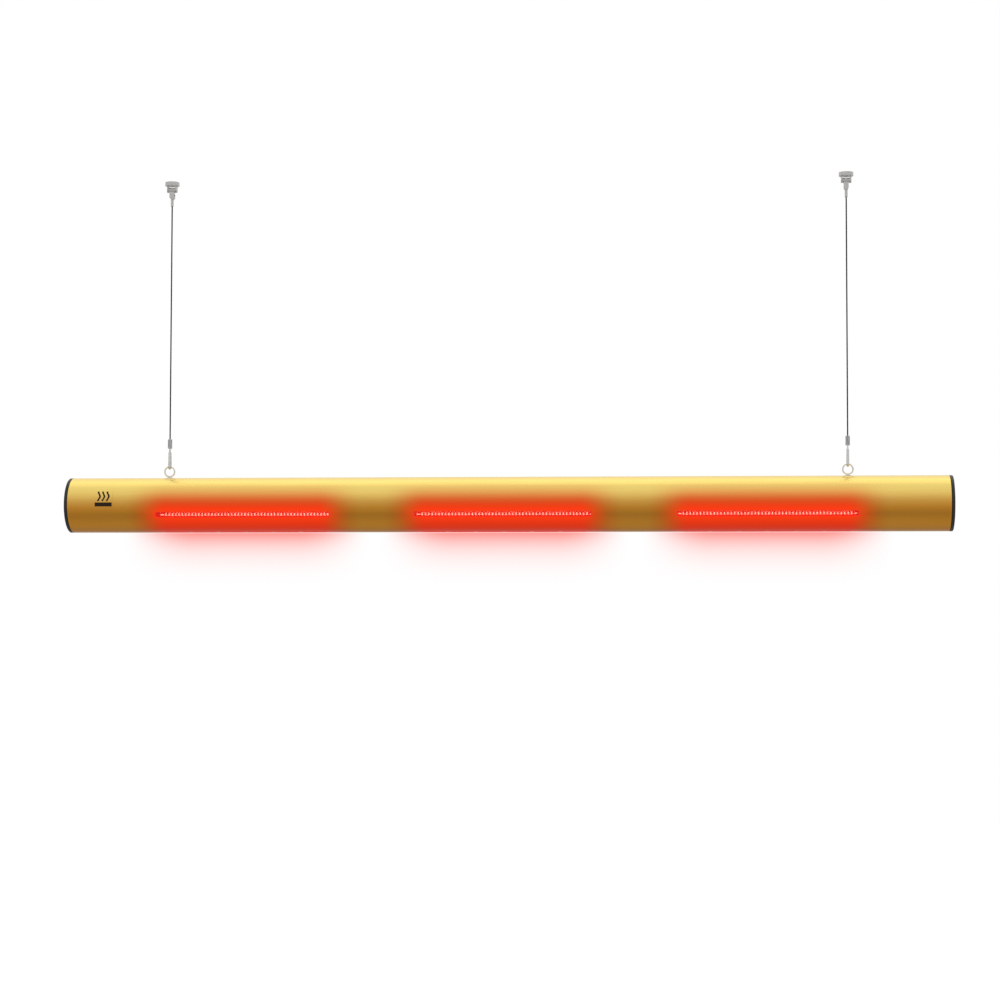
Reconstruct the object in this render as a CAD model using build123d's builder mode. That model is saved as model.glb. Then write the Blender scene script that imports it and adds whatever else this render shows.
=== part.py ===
from build123d import *
import os
from math import asin, atan2, cos, degrees, hypot, radians, sin, sqrt

# Hanging infrared food warmer: a round metal tube with three quartz lamps inside,
# hung level on two steel cables from two ceiling couplers.
# Origin: ceiling plane, midway between the couplers. +X runs along the tube, +Y is the back, +Z up.
os.makedirs("parts", exist_ok=True)

# Clearances
FIT = 0.15  # pieces of one body that seat in each other
RUN = 0.3  # pieces of different bodies that move past each other
OVERCUT = 1.0  # how far a cut runs past the faces it opens

# Tube and suspension
TUBE_LENGTH = 1213.0
TUBE_OD = 76.2
TUBE_WALL = 2.0
TUBE_EDGE = 0.8  # chamfer on both tube ends
AXIS_DROP = 455.0  # ceiling to tube axis
EYE_SPACING = 940.0
CABLE_D = 2.0

# End caps
CAP_FLANGE = 4.0
CAP_EDGE = 0.6  # chamfer round the outer face
CAP_PLUG_DEPTH = 12.0
CAP_PLUG_WALL = 2.0
CAP_SCREW_D = 4.0
CAP_SCREW_HEAD_D = 8.0
CAP_SCREW_LENGTH = 10.0
CAP_SCREW_Y = 9.0
CAP_SCREW_Z = 16.0

# Ceiling couplers
BASE_D = 20.0
BASE_HEIGHT = 5.0
BASE_HOLE_D = 5.5
BASE_HOLE_HEAD_D = 9.6
FORK_GAP = 10.0  # between the two cheeks of the base
FORK_CHEEK = 2.0
FORK_WIDTH = 7.0
PIN_D = 2.5
SWING_PIN_DROP = 11.0  # ceiling to the fore-and-aft pin
SWAY_PIN_DROP = 21.0  # ceiling to the side-to-side pin
SWIVEL_GAP = 5.0  # between the two cheeks of the swivel
SWIVEL_CHEEK = 1.8
SWIVEL_WIDTH = 6.4
YOKE_LAP = 1.0  # the yoke's top runs this far up into the barrel
SLEEVE_WALL = 1.0  # swaged sleeve round the cable
TERMINAL_LENGTH = 13.0  # sway pin to the end of the swaged sleeve

# Cable loops and eye bolts, each rise above the top of the tube
EYE_RISE = 8.9
EYE_WIRE_D = 2.2
EYE_OD = 16.0
EYE_SHANK_D = 4.0
EYE_SHANK_TAIL = 10.0  # below the web of the rail
EYE_COLLAR_D = 4.6
EYE_COLLAR_RISE = 2.5
EYE_WASHER = 1.5  # under the rail
EYE_NUT = 4.0
EYE_NUT_FLATS = 7.0
WASHER_D = 8.0
WASHER_RISE = 0.6
WASHER_LAP = 1.5  # the washer's shaped underside starts this far down the side of the tube
NUT_WASHER_D = 12.0
FERRULE_RISE = 41.4
FERRULE_LENGTH = 13.0
FERRULE_EDGE = 0.5
FERRULE_WALL = 0.4  # in front of and behind the two legs it holds
THIMBLE_FLARE = 0.8  # on each side of the cable
THIMBLE_WALL = 0.25
THIMBLE_LEG = 20.0
THIMBLE_RADIUS = 1.85  # inside of the thimble, round the eye's wire

# Chassis rail, an inverted channel under the top of the tube
RAIL_DROP = 7.6  # top of the bore to the rail
RAIL_SHEET = 1.5
RAIL_WIDTH = 32.0
RAIL_FLANGE = 8.5
RAIL_END_GAP = 1.0
TAB_SHEET = 2.0
TAB_WIDTH = 28.0
TAB_BOTTOM = 8.0

# Lamps
LAMP_COUNT = 3
LAMP_PITCH = 360.5
LAMP_Z = -13.3  # lamp axis, above the tube axis
QUARTZ_D = 10.0
QUARTZ_WALL = 1.0
QUARTZ_LENGTH = 262.0
COIL_D = 4.6
COIL_LENGTH = 233.0
COIL_TAIL_D = 1.2
BASE_CERAMIC_WALL = 1.0
BASE_CERAMIC_LENGTH = 16.0
BASE_BORE_DEPTH = 10.0
BUTTON_D = 4.0
BUTTON_LENGTH = 1.0
SOCKET_LENGTH = 14.0
SOCKET_WIDTH = 22.0
SOCKET_HEIGHT = 23.0
SOCKET_CORNER = 3.0
SOCKET_HANG = 11.0  # lamp axis to the underside of the socket
CONTACT_HEAD_D = 6.0
CONTACT_HEAD = 1.5
CONTACT_STEM_D = 3.0
CONTACT_STEM = 9.3
CONTACT_TRAVEL = 2.5
BRACKET_SHEET = 1.5
BRACKET_WIDTH = 16.0
BRACKET_FOOT = 12.0

# Reflectors, shields, windows and guards
REFLECTOR_RADIUS = 24.0
REFLECTOR_SHEET = 0.8
REFLECTOR_LENGTH = 239.0
REFLECTOR_REAR = -35.0  # degrees at which the rear skirt ends, from the back
REFLECTOR_FRONT = 170.0  # degrees at which the front edge ends
STUD_D = 4.0
STUD_SPACING = 180.0
SHIELD_Z = 14.0
SHIELD_SHEET = 1.0
SHIELD_WIDTH = 56.0
WINDOW_LENGTH = 244.0
WINDOW_TOP = -10.9
WINDOW_BOTTOM = -18.9
RETAINER_SHEET = 2.0
RETAINER_LAP = 5.0
GLASS_SEAT = 1.0  # width of the ledge the glass rests on
GUARD_HALF_ANGLE = 30.0
GUARD_LENGTH = 236.0
GUARD_SHEET = 1.5
GUARD_FLANGE_ANGLE = 38.0
GUARD_LAP = 12.0
GUARD_SLOT_WIDTH = 5.6
GUARD_SLOT_LENGTH = 33.0
GUARD_SLOTS = 6
GUARD_ROW_ANGLE = 7.0  # bottom of the tube to each row of slots
GUARD_SCREW_D = 3.0
GUARD_SCREW_HEAD_D = 5.6
GUARD_SCREW_LENGTH = 6.0
GUARD_SCREW_SINK = 0.1

# Electrical pieces
BLOCK_LENGTH = 40.0
BLOCK_WIDTH = 16.0
BLOCK_HEIGHT = 14.0
BLOCK_END_GAP = 46.5  # right-hand end of the tube to the middle of the terminal block
HARNESS_D = 5.6
HARNESS_Y = -11.4
HARNESS_GAP = 2.2  # under the web of the rail
LEAD_D = 2.4
LEAD_PITCH = 8.0  # between the two wires at each end of the terminal block
LEAD_ENTRY = 6.0
LEAD_SOCKET_Y = -6.0
LEAD_STRAIGHT = 6.0  # straight part above a socket
LEAD_RISE = 12.0  # top of a socket to the upper bend
LEAD_BEND = 5.0
GLAND_THREAD_D = 16.0
GLAND_BORE_D = 9.0
GLAND_HEX = 20.0
GLAND_NUT_HEIGHT = 4.0
GLAND_NUT_CORNER = 1.6  # from the flats out past the corners
GLAND_DOME_LENGTH = 14.0
GLAND_DOME_EDGE = 3.0
GLAND_DOME_FLOOR = 2.0
GLAND_COLLAR_RISE = 1.0  # the collar stands this far clear of the tube
GLAND_COLLAR_LENGTH = 4.0
GLAND_THREAD_IN = 8.0  # thread inside the bore
GLAND_THREAD_OUT = 4.0  # thread inside the dome nut
GLAND_SEAL_GAP = 6.0  # collar to seal
GLAND_Z = -6.0

# Badge on the front, near the left end
BADGE_END_GAP = 52.0  # left-hand end of the tube to the middle of the badge
BADGE_Z = 7.6
BADGE_WIDTH = 25.0
BADGE_HEIGHT = 24.0
BADGE_THICK = 0.3

# Worked out
TUBE_R = TUBE_OD / 2
BORE_R = TUBE_R - TUBE_WALL
AXIS_Z = -AXIS_DROP
TUBE_HALF = TUBE_LENGTH / 2
EYE_CENTRE = TUBE_R + EYE_RISE
EYE_COLLAR_TOP = TUBE_R + EYE_COLLAR_RISE
WASHER_TOP = TUBE_R + WASHER_RISE
FERRULE_BOTTOM = TUBE_R + FERRULE_RISE
FERRULE_WIDTH = 3 * CABLE_D
FERRULE_DEPTH = 2 * (CABLE_D + FERRULE_WALL)
THIMBLE_WIDTH = CABLE_D + 2 * THIMBLE_FLARE
TERMINAL_SLEEVE_D = CABLE_D + 2 * SLEEVE_WALL
RAIL_TOP = BORE_R - RAIL_DROP
SIDES = {"left": -1, "right": 1}
LAMP_X = [LAMP_PITCH * (n - (LAMP_COUNT - 1) / 2) for n in range(LAMP_COUNT)]
FRONT_ANGLE = 180.0
BOTTOM_ANGLE = 270.0
WEB_UNDER = RAIL_TOP - RAIL_SHEET
HARNESS_Z = WEB_UNDER - HARNESS_GAP - HARNESS_D / 2
BLOCK_X = TUBE_HALF - BLOCK_END_GAP
BADGE_X = BADGE_END_GAP - TUBE_HALF
BASE_CERAMIC_D = QUARTZ_D + 2 * BASE_CERAMIC_WALL
QUARTZ_HALF = QUARTZ_LENGTH / 2
BASE_START = QUARTZ_HALF - BASE_BORE_DEPTH
BASE_END = BASE_START + BASE_CERAMIC_LENGTH
BUTTON_END = BASE_END + BUTTON_LENGTH
CONTACT_FACE = BUTTON_END + RUN
CONTACT_BACK = CONTACT_FACE + CONTACT_HEAD
SPRUNG_FACE = CONTACT_BACK + CONTACT_TRAVEL + RUN
SOCKET_TOP = LAMP_Z - SOCKET_HANG + SOCKET_HEIGHT
LOOP_CENTRE = EYE_CENTRE + (EYE_OD - EYE_WIRE_D) / 2
LOOP_RADIUS = THIMBLE_RADIUS + THIMBLE_WALL + CABLE_D / 2
FERRULE_TOP = FERRULE_BOTTOM + FERRULE_LENGTH
LEG_Y = CABLE_D / 2 + FIT
LOOP_RISE = FERRULE_BOTTOM - LOOP_CENTRE
LEAN = degrees(asin(LOOP_RADIUS / hypot(LEG_Y, LOOP_RISE))) - degrees(atan2(LEG_Y, LOOP_RISE))
LEG_LENGTH = LOOP_RISE + CABLE_D / 2


def section(x):
    """The plane across the tube at x, its own x to the back and its own y up, from the tube axis."""
    return Plane(origin=(x, 0, AXIS_Z), x_dir=(0, 1, 0), z_dir=(1, 0, 0))


def level(x, y, z):
    """A level plane at a height z above the tube axis."""
    return Plane(origin=(x, y, AXIS_Z + z))


def hanging(x, z):
    """A level plane at a height z below the ceiling, with z negative."""
    return Plane(origin=(x, 0, z))


def facing(x, y, z):
    """A plane that faces the back, its own x to the left and its own y up."""
    return Plane(origin=(x, y, z), x_dir=(-1, 0, 0), z_dir=(0, 1, 0))


def sector(inner, outer, middle, half, mode=Mode.ADD):
    """Part of a ring round the tube axis, on a section plane, with angles from the back upwards."""
    with BuildLine() as outline:
        inside = CenterArc((0, 0), inner, middle - half, 2 * half)
        outside = CenterArc((0, 0), outer, middle - half, 2 * half)
        Line(inside @ 0, outside @ 0)
        Line(inside @ 1, outside @ 1)
    make_face(outline.edges(), mode=mode)


def angle_of(height):
    """The angle on a section plane of the point of the tube's front at this height."""
    return FRONT_ANGLE - degrees(asin(height / TUBE_R))


def leg_end(radius, way, length):
    """The upper end of a loop's leg on a section plane, with way -1 for the front leg."""
    across = radius * cos(radians(LEAN)) - length * sin(radians(LEAN))
    return (way * across, LOOP_CENTRE + radius * sin(radians(LEAN)) + length * cos(radians(LEAN)))


WINDOW_MIDDLE = (angle_of(WINDOW_TOP) + angle_of(WINDOW_BOTTOM)) / 2
WINDOW_HALF = (angle_of(WINDOW_BOTTOM) - angle_of(WINDOW_TOP)) / 2
FIT_ANGLE = degrees(FIT / BORE_R)
GUARD_SCREW_X = (GUARD_LENGTH + GUARD_LAP) / 2
SLOT_ANGLE = degrees(GUARD_SLOT_WIDTH / 2 / TUBE_R)
SLOT_ROWS = (BOTTOM_ANGLE - GUARD_ROW_ANGLE, BOTTOM_ANGLE + GUARD_ROW_ANGLE)

# ---------------------------------------------------------------- ceiling couplers

with BuildPart() as coupler_bases:
    for side in SIDES.values():
        x = side * EYE_SPACING / 2
        with BuildSketch(hanging(x, -BASE_HEIGHT)):
            Circle(BASE_D / 2)
        extrude(amount=BASE_HEIGHT)
        for cheek in (-1, 1):
            inside = x + cheek * FORK_GAP / 2
            with BuildSketch(Plane(origin=(inside, 0, 0), x_dir=(0, 1, 0), z_dir=(1, 0, 0))):
                with BuildLine():
                    half = FORK_WIDTH / 2
                    bottom = RadiusArc((half, -SWING_PIN_DROP), (-half, -SWING_PIN_DROP), half)
                    Polyline(bottom @ 0, (half, -BASE_HEIGHT), (-half, -BASE_HEIGHT), bottom @ 1)
                make_face()
            extrude(amount=cheek * FORK_CHEEK)
        with Locations((x, 0, -BASE_HEIGHT)):
            with Locations(Rotation(180, 0, 0)):
                CounterSinkHole(BASE_HOLE_D / 2, BASE_HOLE_HEAD_D / 2, depth=BASE_HEIGHT)
        with Locations(Location((x, 0, -SWING_PIN_DROP), (0, 90, 0))):
            Cylinder(PIN_D / 2, FORK_GAP + 3 * FORK_CHEEK, mode=Mode.SUBTRACT)
coupler_bases.part.label = "coupler_bases"
export_step(coupler_bases.part, "parts/coupler_bases.step")

with BuildPart() as coupler_pins:
    for side in SIDES.values():
        with Locations(Location((side * EYE_SPACING / 2, 0, -SWING_PIN_DROP), (0, 90, 0))):
            Cylinder(PIN_D / 2, FORK_GAP + 2 * FORK_CHEEK)
coupler_pins.part.label = "coupler_pins"
export_step(coupler_pins.part, "parts/coupler_pins.step")

# ---------------------------------------------------------------- swivels, cables and loops

BARREL_HALF = FORK_GAP / 2 - RUN
YOKE_TOP = SWING_PIN_DROP + FORK_WIDTH / 2 - YOKE_LAP
YOKE_FLOOR = SWAY_PIN_DROP - SWIVEL_WIDTH / 2 - 1.5 * RUN
TERMINAL_THICK = SWIVEL_GAP - 2 * RUN
CABLE_TOP = SWAY_PIN_DROP + TERMINAL_LENGTH
CABLE_BOTTOM = AXIS_DROP - FERRULE_TOP - RUN

for name, side in SIDES.items():
    x = side * EYE_SPACING / 2

    with BuildPart() as swivel:
        with Locations(Location((x, 0, -SWING_PIN_DROP), (0, 90, 0))):
            Cylinder(FORK_WIDTH / 2, 2 * BARREL_HALF)
        with BuildSketch(hanging(x, -YOKE_FLOOR)):
            Rectangle(SWIVEL_WIDTH, SWIVEL_GAP + 2 * SWIVEL_CHEEK)
        extrude(amount=YOKE_FLOOR - YOKE_TOP)
        for cheek in (-1, 1):
            with BuildSketch(facing(x, cheek * SWIVEL_GAP / 2, -SWAY_PIN_DROP)):
                Circle(SWIVEL_WIDTH / 2)
                with Locations((0, (SWAY_PIN_DROP - YOKE_TOP) / 2)):
                    Rectangle(SWIVEL_WIDTH, SWAY_PIN_DROP - YOKE_TOP)
            extrude(amount=cheek * SWIVEL_CHEEK)
        with Locations(Location((x, 0, -SWING_PIN_DROP), (0, 90, 0))):
            Cylinder(PIN_D / 2 + FIT, FORK_GAP, mode=Mode.SUBTRACT)
        with Locations(Location((x, 0, -SWAY_PIN_DROP), (90, 0, 0))):
            Cylinder(PIN_D / 2, SWIVEL_GAP + 3 * SWIVEL_CHEEK, mode=Mode.SUBTRACT)
    swivel.part.label = f"{name}_swivel_block"
    export_step(swivel.part, f"parts/{name}_swivel_block.step")

    with BuildPart() as swivel_pin:
        with Locations(Location((x, 0, -SWAY_PIN_DROP), (90, 0, 0))):
            Cylinder(PIN_D / 2, SWIVEL_GAP + 2 * SWIVEL_CHEEK)
    swivel_pin.part.label = f"{name}_swivel_pin"
    export_step(swivel_pin.part, f"parts/{name}_swivel_pin.step")

    with BuildPart() as terminal:
        with Locations(Location((x, 0, -SWAY_PIN_DROP), (90, 0, 0))):
            Cylinder(SWIVEL_WIDTH / 2, TERMINAL_THICK)
        with BuildSketch(hanging(x, -CABLE_TOP)):
            Circle(TERMINAL_SLEEVE_D / 2)
        extrude(amount=TERMINAL_LENGTH)
        with Locations(Location((x, 0, -SWAY_PIN_DROP), (90, 0, 0))):
            Cylinder(PIN_D / 2 + FIT, 2 * TERMINAL_SLEEVE_D, mode=Mode.SUBTRACT)
    terminal.part.label = f"{name}_cable_terminal"
    export_step(terminal.part, f"parts/{name}_cable_terminal.step")

    with BuildPart() as cable:
        with BuildSketch(hanging(x, -CABLE_BOTTOM)):
            Circle(CABLE_D / 2)
        extrude(amount=CABLE_BOTTOM - CABLE_TOP)
    cable.part.label = f"{name}_cable"
    export_step(cable.part, f"parts/{name}_cable.step")

    # The loop hangs in the plane across the tube and closes round the top of the eye.
    with BuildPart() as loop:
        with BuildLine(section(x)) as loop_path:
            around = CenterArc((0, LOOP_CENTRE), LOOP_RADIUS, 180 - LEAN, 180 + 2 * LEAN)
            Line(leg_end(LOOP_RADIUS, -1, LEG_LENGTH), around @ 0)
            Line(around @ 1, leg_end(LOOP_RADIUS, 1, LEG_LENGTH))
        with BuildSketch(Plane(origin=loop_path.line @ 0, z_dir=loop_path.line % 0)):
            Circle(CABLE_D / 2)
        sweep(path=loop_path.line)
        split(bisect_by=level(x, 0, FERRULE_BOTTOM), keep=Keep.BOTTOM)
    loop.part.label = f"{name}_cable_loop"
    export_step(loop.part, f"parts/{name}_cable_loop.step")

    # The thimble is the grooved strip between the loop and the eye.
    with BuildPart() as thimble:
        with BuildSketch(section(x - THIMBLE_WIDTH / 2)):
            with BuildLine():
                for radius in (LOOP_RADIUS, THIMBLE_RADIUS):
                    arc = CenterArc((0, LOOP_CENTRE), radius, 180 - LEAN, 180 + 2 * LEAN)
                    Line(arc @ 0, leg_end(radius, -1, THIMBLE_LEG))
                    Line(arc @ 1, leg_end(radius, 1, THIMBLE_LEG))
                for way in (-1, 1):
                    Line(leg_end(LOOP_RADIUS, way, THIMBLE_LEG), leg_end(THIMBLE_RADIUS, way, THIMBLE_LEG))
            make_face()
        extrude(amount=THIMBLE_WIDTH)
        add(loop.part, mode=Mode.SUBTRACT)
    thimble.part.label = f"{name}_thimble"
    export_step(thimble.part, f"parts/{name}_thimble.step")

    with BuildPart() as ferrule:
        with BuildSketch(level(x, 0, FERRULE_BOTTOM)):
            RectangleRounded(FERRULE_WIDTH, FERRULE_DEPTH, FERRULE_DEPTH / 2 - FIT)
        extrude(amount=FERRULE_LENGTH)
        chamfer(ferrule.faces().sort_by(Axis.Z)[-1].edges(), FERRULE_EDGE)
    ferrule.part.label = f"{name}_ferrule"
    export_step(ferrule.part, f"parts/{name}_ferrule.step")

    # The eye bolt goes down through the tube and the chassis rail to its nut.
    with BuildPart() as eye_bolt:
        with Locations(Location((x, 0, AXIS_Z + EYE_CENTRE), (90, 0, 0))):
            Torus((EYE_OD - EYE_WIRE_D) / 2, EYE_WIRE_D / 2)
        with BuildSketch(level(x, 0, WASHER_TOP)):
            Circle(EYE_COLLAR_D / 2)
        extrude(amount=EYE_COLLAR_TOP - WASHER_TOP)
        with BuildSketch(level(x, 0, WEB_UNDER - EYE_SHANK_TAIL)):
            Circle(EYE_SHANK_D / 2)
        extrude(amount=WASHER_TOP - WEB_UNDER + EYE_SHANK_TAIL)
    eye_bolt.part.label = f"{name}_eye_bolt"
    export_step(eye_bolt.part, f"parts/{name}_eye_bolt.step")

SPACER_TOP = sqrt(BORE_R**2 - (NUT_WASHER_D / 2) ** 2)

with BuildPart() as eye_bolt_washers:
    for side in SIDES.values():
        x = side * EYE_SPACING / 2
        with BuildSketch(level(x, 0, TUBE_R - WASHER_LAP)):
            Circle(WASHER_D / 2)
            Circle(EYE_SHANK_D / 2 + FIT, mode=Mode.SUBTRACT)
        extrude(amount=WASHER_RISE + WASHER_LAP)
        with Locations(Location((x, 0, AXIS_Z), (0, 90, 0))):
            Cylinder(TUBE_R, 2 * WASHER_D, mode=Mode.SUBTRACT)
eye_bolt_washers.part.label = "eye_bolt_washers"
export_step(eye_bolt_washers.part, "parts/eye_bolt_washers.step")

with BuildPart() as eye_bolt_spacers:
    for side in SIDES.values():
        with BuildSketch(level(side * EYE_SPACING / 2, 0, RAIL_TOP)):
            Circle(NUT_WASHER_D / 2)
            Circle(EYE_SHANK_D / 2 + FIT, mode=Mode.SUBTRACT)
        extrude(amount=SPACER_TOP - RAIL_TOP)
eye_bolt_spacers.part.label = "eye_bolt_spacers"
export_step(eye_bolt_spacers.part, "parts/eye_bolt_spacers.step")

with BuildPart() as eye_bolt_nuts:
    for side in SIDES.values():
        x = side * EYE_SPACING / 2
        with BuildSketch(level(x, 0, WEB_UNDER - EYE_WASHER)):
            Circle(NUT_WASHER_D / 2)
            Circle(EYE_SHANK_D / 2, mode=Mode.SUBTRACT)
        extrude(amount=EYE_WASHER)
        with BuildSketch(level(x, 0, WEB_UNDER - EYE_WASHER - EYE_NUT)):
            RegularPolygon(EYE_NUT_FLATS / 2, 6, major_radius=False)
            Circle(EYE_SHANK_D / 2, mode=Mode.SUBTRACT)
        extrude(amount=EYE_NUT)
eye_bolt_nuts.part.label = "eye_bolt_nuts"
export_step(eye_bolt_nuts.part, "parts/eye_bolt_nuts.step")

# ---------------------------------------------------------------- tube and end caps

GLAND_HOLE_R = GLAND_THREAD_D / 2 + FIT

with BuildPart() as tube_housing:
    with BuildSketch(section(-TUBE_HALF)):
        Circle(TUBE_R)
    extrude(amount=TUBE_LENGTH)
    chamfer(tube_housing.edges().filter_by(GeomType.CIRCLE), TUBE_EDGE)
    with BuildSketch(section(-TUBE_HALF)):
        Circle(BORE_R)
    extrude(amount=TUBE_LENGTH, mode=Mode.SUBTRACT)
    for lamp_x in LAMP_X:
        with BuildSketch(section(lamp_x - WINDOW_LENGTH / 2)):
            sector(BORE_R - OVERCUT, TUBE_R + OVERCUT, WINDOW_MIDDLE, WINDOW_HALF)
        extrude(amount=WINDOW_LENGTH, mode=Mode.SUBTRACT)
        with BuildSketch(section(lamp_x - GUARD_LENGTH / 2)):
            sector(BORE_R - OVERCUT, TUBE_R + OVERCUT, BOTTOM_ANGLE, GUARD_HALF_ANGLE)
        extrude(amount=GUARD_LENGTH, mode=Mode.SUBTRACT)
        for end in (-1, 1):
            with BuildSketch(level(lamp_x + end * GUARD_SCREW_X, 0, -TUBE_R - OVERCUT)):
                Circle(GUARD_SCREW_HEAD_D / 2 + FIT)
            extrude(amount=TUBE_WALL + 2 * OVERCUT, mode=Mode.SUBTRACT)
    for side in SIDES.values():
        with BuildSketch(level(side * EYE_SPACING / 2, 0, BORE_R - OVERCUT)):
            Circle(EYE_SHANK_D / 2 + FIT)
        extrude(amount=TUBE_WALL + 2 * OVERCUT, mode=Mode.SUBTRACT)
    with BuildSketch(facing(BLOCK_X, 0, AXIS_Z + GLAND_Z)):
        Circle(GLAND_HOLE_R)
    extrude(amount=TUBE_R + OVERCUT, mode=Mode.SUBTRACT)
tube_housing.part.label = "tube_housing"
export_step(tube_housing.part, "parts/tube_housing.step")

for name, side in SIDES.items():
    face_x = side * TUBE_HALF
    outer_x = side * (TUBE_HALF + CAP_FLANGE)

    with BuildPart() as end_cap:
        with BuildSketch(section(face_x)):
            Circle(TUBE_R)
        extrude(amount=side * CAP_FLANGE)
        chamfer(end_cap.faces().sort_by(Axis.X)[-1 if side > 0 else 0].edges(), CAP_EDGE)
        with BuildSketch(section(face_x)):
            Circle(BORE_R - FIT)
            Circle(BORE_R - FIT - CAP_PLUG_WALL, mode=Mode.SUBTRACT)
        extrude(amount=-side * CAP_PLUG_DEPTH)
        for y in (-CAP_SCREW_Y, CAP_SCREW_Y):
            with Locations(Location((outer_x, y, AXIS_Z + CAP_SCREW_Z), (0, side * 90, 0))):
                CounterSinkHole(CAP_SCREW_D / 2 + FIT, CAP_SCREW_HEAD_D / 2 + FIT, depth=2 * CAP_FLANGE)
    end_cap.part.label = f"{name}_end_cap"
    export_step(end_cap.part, f"parts/{name}_end_cap.step")

CAP_SCREW_HEAD = (CAP_SCREW_HEAD_D - CAP_SCREW_D) / 2
with BuildPart() as end_cap_screws:
    for side in SIDES.values():
        outer_x = side * (TUBE_HALF + CAP_FLANGE)
        for y in (-CAP_SCREW_Y, CAP_SCREW_Y):
            with BuildSketch(section(outer_x)):
                with Locations((y, CAP_SCREW_Z)):
                    Circle(CAP_SCREW_D / 2)
            extrude(amount=-side * CAP_SCREW_LENGTH)
            head_x = outer_x - side * CAP_SCREW_HEAD / 2
            with Locations(Location((head_x, y, AXIS_Z + CAP_SCREW_Z), (0, side * 90, 0))):
                Cone(CAP_SCREW_D / 2, CAP_SCREW_HEAD_D / 2, CAP_SCREW_HEAD)
end_cap_screws.part.label = "end_cap_screws"
export_step(end_cap_screws.part, "parts/end_cap_screws.step")

# ---------------------------------------------------------------- chassis rail

RAIL_HALF = TUBE_HALF - RAIL_END_GAP

with BuildPart() as chassis_rail:
    with BuildSketch(section(-RAIL_HALF)):
        with Locations((0, RAIL_TOP - RAIL_FLANGE / 2)):
            Rectangle(RAIL_WIDTH, RAIL_FLANGE)
        with Locations((0, RAIL_TOP - RAIL_SHEET - RAIL_FLANGE / 2)):
            Rectangle(RAIL_WIDTH - 2 * RAIL_SHEET, RAIL_FLANGE, mode=Mode.SUBTRACT)
    extrude(amount=2 * RAIL_HALF)
    for side in SIDES.values():
        with BuildSketch(section(side * RAIL_HALF)):
            with Locations((0, (WEB_UNDER + TAB_BOTTOM) / 2)):
                Rectangle(TAB_WIDTH, WEB_UNDER - TAB_BOTTOM)
            with Locations((-CAP_SCREW_Y, CAP_SCREW_Z), (CAP_SCREW_Y, CAP_SCREW_Z)):
                Circle(CAP_SCREW_D / 2, mode=Mode.SUBTRACT)
        extrude(amount=-side * TAB_SHEET)
        with BuildSketch(level(side * EYE_SPACING / 2, 0, WEB_UNDER - OVERCUT)):
            Circle(EYE_SHANK_D / 2 + FIT)
        extrude(amount=RAIL_SHEET + 2 * OVERCUT, mode=Mode.SUBTRACT)
chassis_rail.part.label = "chassis_rail"
export_step(chassis_rail.part, "parts/chassis_rail.step")

# ---------------------------------------------------------------- lamps, one set for each place

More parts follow.
